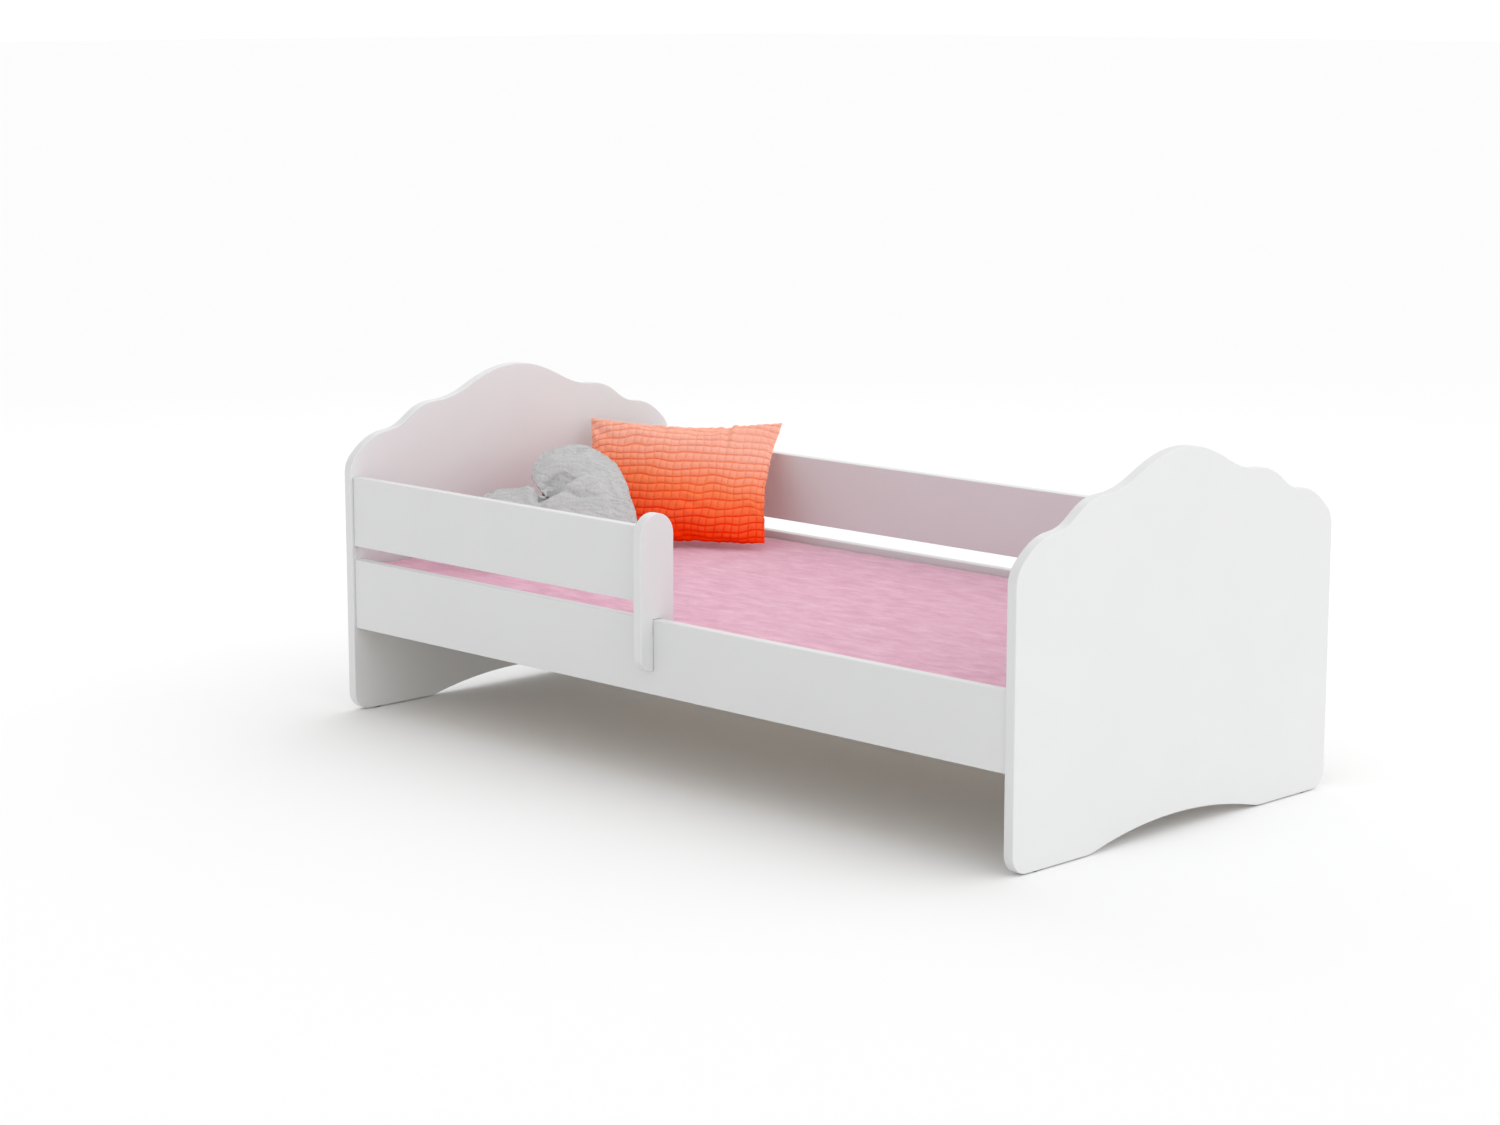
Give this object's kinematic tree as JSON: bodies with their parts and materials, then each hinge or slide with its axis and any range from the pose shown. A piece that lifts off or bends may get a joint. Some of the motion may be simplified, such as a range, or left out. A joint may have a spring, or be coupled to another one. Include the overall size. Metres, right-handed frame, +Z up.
{
  "type": "toddler bed",
  "caption": "Low wooden bed for a toddler with cloud-topped end panels, a half-length front guard, a slatted base, a mattress and two loose pillows.",
  "frame": {"origin": "centre of the bed's footprint on the floor", "axes": "+Z up, +X from the headboard to the footboard, -Y towards the open front with the guard"},
  "size_m": [1.717, 0.875, 0.6555],
  "materials": {
    "white_board": "satin white melamine on particle board, edges banded",
    "pine": "planed, unvarnished",
    "beech": "turned and fluted, unvarnished",
    "webbing": "woven tape",
    "zinc": "die-cast zinc",
    "steel": "zinc-plated steel",
    "black_plastic": "moulded",
    "pink_plush": "short-pile plush",
    "orange_quilt": "quilted cotton velvet",
    "grey_linen": "washed linen"
  },
  "bodies": {
    "frame": {"headboard": "white_board", "footboard": "white_board", "front_rail": "white_board", "rear_rail": "white_board", "front_guard": "white_board", "rear_guard": "white_board", "guard_post": "white_board", "front_ledger": "pine", "rear_ledger": "pine", "slat_1": "pine", "slat_2": "pine", "slat_3": "pine", "slat_4": "pine", "slat_5": "pine", "slat_6": "pine", "slat_7": "pine", "slat_8": "pine", "slat_9": "pine", "slat_10": "pine", "slat_11": "pine", "slat_12": "pine", "front_slat_tape": "webbing", "rear_slat_tape": "webbing", "front_rail_head_bolt": "steel", "front_rail_head_dowel": "beech", "front_rail_head_cam": "zinc", "front_rail_foot_bolt": "steel", "front_rail_foot_dowel": "beech", "front_rail_foot_cam": "zinc", "rear_rail_head_bolt": "steel", "rear_rail_head_dowel": "beech", "rear_rail_head_cam": "zinc", "rear_rail_foot_bolt": "steel", "rear_rail_foot_dowel": "beech", "rear_rail_foot_cam": "zinc", "front_guard_head_bolt": "steel", "front_guard_head_dowel": "beech", "front_guard_head_cam": "zinc", "rear_guard_head_bolt": "steel", "rear_guard_head_dowel": "beech", "rear_guard_head_cam": "zinc", "rear_guard_foot_bolt": "steel", "rear_guard_foot_dowel": "beech", "rear_guard_foot_cam": "zinc", "post_dowel_1": "beech", "post_screw_1": "steel", "post_dowel_2": "beech", "post_screw_2": "steel", "front_ledger_screw_1": "steel", "front_ledger_screw_2": "steel", "rear_ledger_screw_1": "steel", "rear_ledger_screw_2": "steel", "head_front_glide": "black_plastic", "head_rear_glide": "black_plastic", "foot_front_glide": "black_plastic", "foot_rear_glide": "black_plastic"},
    "mattress": {"mattress": "pink_plush"},
    "quilted_pillow": {"quilted_pillow": "orange_quilt"},
    "heart_pillow": {"heart_pillow": "grey_linen"}
  },
  "joints": [
    {"name": "mattress_lift", "type": "slide", "parent": "frame", "child": "mattress", "axis": [0, 0, 1], "range_m": [0, 0.5]},
    {"name": "quilted_pillow_lift", "type": "slide", "parent": "mattress", "child": "quilted_pillow", "axis": [0, 0, 1], "range_m": [0, 0.4]},
    {"name": "heart_pillow_lift", "type": "slide", "parent": "mattress", "child": "heart_pillow", "axis": [0, 0, 1], "range_m": [0, 0.4]}
  ]
}
